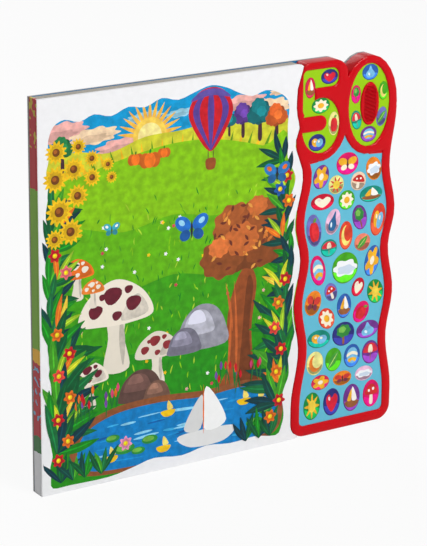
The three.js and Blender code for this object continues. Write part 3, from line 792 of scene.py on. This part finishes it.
def bezel():
    bm = bmesh.new()
    bm.from_mesh(nodes["front_case"].data)
    bmesh.ops.remove_doubles(bm, verts=bm.verts, dist=MERGE_DISTANCE)
    bmesh.ops.bisect_plane(bm, geom=bm.verts[:] + bm.edges[:] + bm.faces[:],
                           plane_co=(0, BEZEL_CUT, 0), plane_no=(0, -1, 0), clear_outer=True)
    bmesh.ops.remove_doubles(bm, verts=bm.verts, dist=RIM_MERGE)
    rim, verts, outer = rims_of(bm)
    index = {v: i for i, v in enumerate(verts)}
    spots = [Vector((v.co.x, v.co.z)) for v in verts]
    inward, sides = [Vector((0, 0)) for v in verts], [[] for v in verts]
    for edge in rim:
        normal = edge.link_faces[0].normal
        into = Vector((-normal.x, -normal.z)).normalized()
        a, b = (index[v] for v in edge.verts)
        for i in (a, b):
            inward[i] += into
            sides[i].append((spots[a], spots[b], into))
    tree = KDTree(len(spots))
    for i, spot in enumerate(spots):
        tree.insert((spot.x, spot.y, 0), i)
    tree.balance()

    def clearance(point):
        """How far the nearest rim is, a value above 0 inside the moulding, and if it is outer."""
        near = []
        for co, i, far in tree.find_n((point.x, point.y, 0), NEAREST_RIMS):
            for a, b, into in sides[i]:
                along = max(0.0, min(1.0, (point - a).dot(b - a) / (b - a).length_squared))
                gap = point - (a + (b - a) * along)
                near.append((gap.length, gap, into, verts[i] in outer))
        far, gap, into, is_outer = min(near, key=lambda one: one[0])
        facing = sum((one[2] for one in near if one[0] < far + SAME_DISTANCE), Vector((0, 0)))
        return far, gap.dot(facing), is_outer

    points = list(spots)
    for i, spot in enumerate(spots):
        into = inward[i].normalized()
        for distance in OFFSETS:
            point = spot + into * distance
            if clearance(point)[0] > distance * OFFSET_SHARE:
                points.append(point)
    left, foot = min(spot.x for spot in spots), min(spot.y for spot in spots)
    for column in range(GRID_COLUMNS):
        for row in range(GRID_ROWS):
            point = Vector((left + column * GRID_STEP, foot + row * GRID_STEP))
            far, side, is_outer = clearance(point)
            if side > 0 and far > GRID_CLEAR:
                points.append(point)
    edges = [tuple(index[v] for v in edge.verts) for edge in rim]
    flat = delaunay_2d_cdt([p * FLAT_SCALE for p in points], edges, [], 0, 1e-5)
    raised = []
    for spot, sources in zip(flat[0], flat[3]):
        source = min(sources) if sources else len(verts)
        if source < len(verts):
            raised.append(verts[source])
            continue
        far, side, is_outer = clearance(spot / FLAT_SCALE)
        reach = OUTER_REACH if is_outer else WINDOW_REACH
        rise = BEZEL_RISE * math.sqrt(1 - (1 - min(1.0, far / reach)) ** 2)
        raised.append(bm.verts.new((spot.x / FLAT_SCALE, BEZEL_CUT - rise, spot.y / FLAT_SCALE)))
    for a, b, c in flat[2]:
        middle = (flat[0][a] + flat[0][b] + flat[0][c]) / 3 / FLAT_SCALE
        if clearance(middle)[1] > 0:
            face = bm.faces.new((raised[a], raised[b], raised[c]))
            face.normal_update()
            if face.normal.y > 0:
                face.normal_flip()
    for vertex in [v for v in bm.verts if not v.link_faces]:
        bm.verts.remove(vertex)
    smooth(bm)
    made = new_object(bm, "front_case_bezel", [red_finish.material])
    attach(made, "back")
    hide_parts("front_case")


bezel()


# Keypad plate: moulded in the same red, seen only at the raised grille with its level slots.
# The printed films lie on it, and the keys stand in its openings.
smooth_copy("button_panel")


# Picture keys: fifty oval caps, each with a rounded edge and a printed film.
# Each takes its place, size and lean from its CAD node. The pictures are generic.
KEY_COLOURS = {
    "purple": (112, 51, 140), "magenta": (220, 7, 99), "orange": (240, 135, 34), "straw": (241, 236, 147),
    "peach": (247, 211, 180), "scarlet": (197, 9, 45), "leaf": (69, 168, 24), "teal": (13, 139, 120),
    "lilac": (116, 114, 194), "pink": (240, 191, 221), "coral": (220, 66, 41), "salmon": (242, 132, 104),
    "blue": (44, 95, 174), "crimson": (212, 28, 76), "navy": (42, 45, 120), "forest": (15, 138, 60),
}
KEY_ORDER = (
    "navy crimson forest straw navy blue magenta leaf teal lilac "
    "purple purple orange magenta straw peach scarlet teal leaf lilac "
    "coral pink purple coral teal salmon magenta blue leaf orange "
    "forest lilac scarlet blue coral magenta teal purple navy straw "
    "purple leaf blue crimson pink orange forest magenta navy purple"
).split()
MOTIFS = (
    "blossom", "daisy", "leaf", "heart", "moon", "sun", "drop", "cloud",
    "apple", "ball", "boat", "parasol", "toadstool", "tree", "butterfly", "pebbles",
)
PANEL_FRONT = -5.95 * MM
KEY_SEGMENTS = 48
KEY_ROUND = 0.5 * MM
KEY_PROUD = 0.35 * MM
KEY_FACE = PANEL_FRONT - KEY_PROUD
PICTURE_GROW = 1.25
PICTURE_EDGE = 0.97
LONGER = 1.02


def key_oval(node):
    front = [v.co for v in nodes[node].data.vertices if v.co.y < PANEL_FRONT + 0.01 * MM]
    points = sorted({(round(co.x, 6), round(co.z, 6)) for co in front})
    cx = sum(x for x, z in points) / len(points)
    cz = sum(z for x, z in points) / len(points)
    xx = sum((x - cx) ** 2 for x, z in points) / len(points)
    zz = sum((z - cz) ** 2 for x, z in points) / len(points)
    xz = sum((x - cx) * (z - cz) for x, z in points) / len(points)
    lean = 0.5 * math.atan2(2 * xz, xx - zz)
    middle, spread = (xx + zz) / 2, math.hypot((xx - zz) / 2, xz)
    return cx, cz, math.sqrt(2 * (middle + spread)), math.sqrt(2 * (middle - spread)), lean


def oval_ring(oval, grow, y):
    cx, cz, long_half, short_half, lean = oval
    points = []
    for i in range(KEY_SEGMENTS):
        a = math.tau * i / KEY_SEGMENTS
        u, v = (long_half + grow) * math.cos(a), (short_half + grow) * math.sin(a)
        points.append((cx + u * math.cos(lean) - v * math.sin(lean), y,
                       cz + u * math.sin(lean) + v * math.cos(lean)))
    return points


def picture(index, ground):
    """Shapes in a unit disc, each with its colour, the first ones behind."""
    dark = sum(ground) < 400
    light = (250, 240, 214) if dark else (120, 50, 70)
    warm = (248, 180, 40) if dark else (214, 60, 50)
    cool = (120, 190, 230) if dark else (40, 100, 150)
    earth = (150, 92, 52)
    motif = MOTIFS[index % len(MOTIFS)]
    hill = [(-1.0, -1.0), (1.0, -1.0), (1.0, -0.3), (0.4, -0.16), (-0.2, -0.34), (-1.0, -0.22)]
    shapes = [(curve(hill, 5), shaded(ground, 0.66) if not dark else shaded(ground, 1.5))]
    if motif == "blossom":
        shapes += [(ring(0, 0.02, 0.66, 0.66, 40, 0, 5, 0.32), warm),
                   (ring(0, 0.02, 0.24, 0.24, 16), light)]
    elif motif == "daisy":
        shapes += [(ring(0, 0, 0.62, 0.62, 48, 0, 8, 0.16), light), (ring(0, 0, 0.3, 0.3, 18), warm)]
    elif motif == "leaf":
        shapes += [(blade(-0.5, -0.55, 1.5, 0.62, 48, 0), (70, 160, 60)),
                   (blade(-0.5, -0.55, 1.4, 0.08, 48, 0), (190, 220, 120))]
    elif motif == "heart":
        heart = [(0, -0.6), (0.5, -0.12), (0.56, 0.3), (0.28, 0.5), (0, 0.28), (-0.28, 0.5),
                 (-0.56, 0.3), (-0.5, -0.12)]
        shapes += [(curve(heart, 5), (214, 30, 56) if ground != KEY_COLOURS["scarlet"] else light),
                   (ring(-0.26, 0.24, 0.1, 0.14, 12, 30), (250, 210, 210))]
    elif motif == "moon":
        shapes += [(ring(0, 0, 0.6, 0.6, 32), (250, 226, 120) if dark else (226, 120, 40)),
                   (ring(0.22, 0.14, 0.5, 0.5, 28), ground)]
    elif motif == "sun":
        shapes += [(blade(0, 0, 0.8, 0.2, i * 45), warm) for i in range(8)]
        shapes += [(ring(0, 0, 0.38, 0.38, 24), (252, 214, 70))]
    elif motif == "drop":
        drop = [(0, 0.72), (0.2, 0.28), (0.46, -0.12), (0.3, -0.54), (-0.3, -0.54), (-0.46, -0.12),
                (-0.2, 0.28)]
        shapes += [(curve(drop, 5), cool), (ring(-0.14, -0.2, 0.1, 0.18, 12, 20), (226, 244, 252))]
    elif motif == "cloud":
        shapes += [(ring(0, 0, 0.76, 0.42, 48, 0, 6, 0.14), (244, 246, 250)),
                   (ring(0.06, -0.1, 0.56, 0.24, 32, 0, 5, 0.12), (206, 220, 236))]
    elif motif == "apple":
        shapes += [(ring(-0.14, -0.08, 0.42, 0.5, 28), (206, 28, 40)),
                   (ring(0.14, -0.08, 0.42, 0.5, 28), (220, 44, 50)),
                   (blade(0, 0.34, 0.3, 0.08, 80), earth),
                   (blade(0.04, 0.44, 0.42, 0.2, 20), (90, 170, 60))]
    elif motif == "ball":
        shapes += [(ring(0, 0.04, 0.58, 0.58, 32), cool),
                   (curve([(-0.5, 0.2), (0, 0.34), (0.5, 0.2), (0.54, -0.02), (0, 0.12),
                           (-0.54, -0.02)], 4), light),
                   (curve([(-0.44, -0.22), (0, -0.1), (0.44, -0.22), (0.3, -0.44), (0, -0.32),
                           (-0.3, -0.44)], 4), warm)]
    elif motif == "boat":
        shapes += [(curve([(-0.66, -0.2), (0.66, -0.2), (0.4, -0.56), (-0.4, -0.56)], 4), earth),
                   (curve([(0.02, -0.14), (0.06, 0.7), (0.52, -0.1)], 4), (250, 248, 240)),
                   (curve([(-0.06, -0.14), (-0.04, 0.56), (-0.46, -0.1)], 4), warm)]
    elif motif == "parasol":
        shapes += [(curve([(-0.7, 0.02), (0.7, 0.02), (0.5, 0.5), (0, 0.68), (-0.5, 0.5)], 5),
                    (214, 44, 60)),
                   (curve([(-0.22, 0.02), (0.22, 0.02), (0.14, 0.5), (-0.14, 0.5)], 5),
                    (250, 230, 200)),
                   (blade(0, -0.66, 0.76, 0.09, 90), earth)]
    elif motif == "toadstool":
        shapes += [(curve([(-0.16, -0.6), (0.16, -0.6), (0.12, 0), (-0.12, 0)], 4), (246, 234, 214)),
                   (curve([(-0.64, -0.02), (0.64, -0.02), (0.42, 0.42), (0, 0.6), (-0.42, 0.42)], 5),
                    (206, 44, 40)),
                   (ring(-0.24, 0.2, 0.11, 0.09, 12), (250, 244, 236)),
                   (ring(0.2, 0.28, 0.12, 0.1, 12), (250, 244, 236))]
    elif motif == "tree":
        shapes += [(curve([(-0.08, -0.66), (0.08, -0.66), (0.05, 0.1), (-0.05, 0.1)], 4), earth),
                   (ring(0, 0.22, 0.52, 0.44, 36, 0, 7, 0.08), (50, 140, 60)),
                   (ring(-0.1, 0.32, 0.28, 0.22, 24, 0, 5, 0.08), (120, 190, 80))]
    elif motif == "butterfly":
        for side in (-1, 1):
            shapes += [(ring(side * 0.36, 0.18, 0.36, 0.28, 22, side * 30), warm),
                       (ring(side * 0.28, -0.26, 0.24, 0.2, 18, -side * 30), light)]
        shapes += [(blade(0, -0.44, 0.86, 0.12, 90), (50, 34, 40))]
    else:
        shapes += [(ring(-0.2, 0.02, 0.34, 0.44, 26, 20), warm),
                   (ring(0.22, -0.04, 0.34, 0.44, 26, -20), cool),
                   (ring(-0.26, 0.16, 0.1, 0.12, 12), light), (ring(0.16, 0.1, 0.1, 0.12, 12), light)]
    return shapes


def inside_disc(u, v):
    shrink = PICTURE_EDGE / max(PICTURE_EDGE, math.hypot(u, v))
    return u * shrink, v * shrink


def key_cap(bm, node, oval):
    """A cap from the CAD button's back to a rounded front edge."""
    deep = max(v.co.y for v in nodes[node].data.vertices)
    profile = [(0.0, deep), (0.0, KEY_FACE + KEY_ROUND)]
    profile += [(-KEY_ROUND * (1 - math.cos(a)), KEY_FACE + KEY_ROUND * (1 - math.sin(a)))
                for a in (math.radians(22.5 * i) for i in range(1, 5))]
    rings = [[bm.verts.new(p) for p in oval_ring(oval, grow, y)] for grow, y in profile]
    for low, high in zip(rings, rings[1:]):
        for i in range(KEY_SEGMENTS):
            j = (i + 1) % KEY_SEGMENTS
            bm.faces.new((low[i], low[j], high[j], high[i])).smooth = True
    bm.faces.new(rings[0][::-1])
    bm.faces.new(rings[-1])
    bmesh.ops.recalc_face_normals(bm, faces=bm.faces)


def key_place(oval):
    """Maps the unit disc onto the cap's flat front, with the picture upright on a tall oval."""
    cx, cz, long_half, short_half, lean = oval
    wide, tall, tilt = long_half - KEY_ROUND, short_half - KEY_ROUND, lean
    if long_half > short_half * LONGER and abs(lean) > math.pi / 4:
        wide, tall = tall, wide
        tilt = lean - math.copysign(math.pi / 2, lean)

    def place(u, v, y):
        a, b = u * wide, v * tall
        return (cx + a * math.cos(tilt) - b * math.sin(tilt), y,
                cz + a * math.sin(tilt) + b * math.cos(tilt))
    return place


ovals = {}
for index, colour in enumerate(KEY_ORDER):
    node = "button_%02d" % (index + 1)
    oval = ovals[node] = key_oval(node)
    bm = bmesh.new()
    key_cap(bm, node, oval)
    place = key_place(oval)
    ground = KEY_COLOURS[colour]
    colours = [ground]
    for level, (points, rgb) in enumerate(picture(index * 7 + 3, ground)):
        if rgb not in colours:
            colours.append(rgb)
        y = KEY_FACE - INK_STEP * (level + 1)
        grow = PICTURE_GROW if level else 1.0
        inner = [inside_disc(grow * u, grow * v) for u, v in points]
        fill(bm, [[place(u, v, y) for u, v in inner]], colours.index(rgb))
    key = new_object(bm, "key_%02d" % (index + 1), [ink(rgb) for rgb in colours])
    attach(key, node)
    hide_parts(node)


# Printed films over the keypad plate: sky blue in the long window, lime in the two figures.
# Each is a thin sheet with a hole for every key, and it runs on under the bezel.
CASE_X = 267.3
GRILLE = (286.8, 262.2, 8.65, 16.95)
BLUE_LIFT, LIME_LIFT = 0.05, 0.09
HOLE_GAP = 0.06
UNDER_BEZEL = 3.6
WAVES = [(4, 45.0), (27, 47.4), (72, 41.5), (109, 46.7), (146, 41.2), (175, 46.4), (213, 40.2),
         (240, 47.5), (252, 43.8), (264, 47.2), (277, 46.9), (301, 41.3)]
LEFT_RIM = 0.9


def wave_half(z):
    for (z0, w0), (z1, w1) in zip(WAVES, WAVES[1:]):
        if z0 <= z <= z1:
            return w0 + (w1 - w0) * (1 - math.cos(math.pi * (z - z0) / (z1 - z0))) / 2
    return WAVES[-1][1]


def key_hole(number):
    edge = oval_ring(ovals["button_%02d" % number], HOLE_GAP * MM, 0.0)
    return [((x - SPINE_X) / MM, z / MM) for x, y, z in edge]


def film(name, outline, keys, rgb, lift, more_holes=()):
    sheet = Print(name, PANEL_FRONT - lift * MM)
    sheet.add(outline, rgb, holes=[key_hole(number) for number in keys] + list(more_holes))
    sheet.build("back")


heights = list(range(5, 223, 6))
left_side = [(CASE_X - wave_half(z) + UNDER_BEZEL, z) for z in heights]
right_side = [(CASE_X + wave_half(z) - UNDER_BEZEL, z) for z in heights]
peak = [(288, 222), (274, 231), (267, 243), (262, 243), (254, 231), (240, 222)]
film("field_film", right_side + peak + left_side[::-1], range(12, 51), FILM_BLUE, BLUE_LIFT)

FIVE_X = CASE_X - 25.4
five_outline = [(FIVE_X - 19.2, 264), (FIVE_X - 19.2, 282), (FIVE_X - 15.2, 297), (FIVE_X + 14, 297),
                (FIVE_X + 18, 293), (FIVE_X + 18, 268)]
five_outline += [(FIVE_X + 20.4 * math.cos(a), 250.6 + 24.6 * math.sin(a))
                 for a in (math.radians(40 - 6 * i) for i in range(42))]
five_outline = [(max(x, CASE_X - wave_half(z) + LEFT_RIM), z) for x, z in five_outline]
film("five_film", five_outline, range(1, 6), FILM_LIME, LIME_LIFT)
film("zero_film", ring(CASE_X + 19, 261.3, 22.6, 35.4, 72), range(6, 12), FILM_LIME, LIME_LIFT,
     [ring(*GRILLE, 52)])


# Loudspeaker and circuit board, seen only through the grille's slots: a dark cone, a green board.
# Both are held in the rear case. The CAD nodes are kept.
dress("speaker", Finish("speaker_cone", 0.6).paint(linear((40, 40, 42))))
dress("circuit_board", Finish("circuit_board", 0.5).paint(linear((24, 92, 52))))
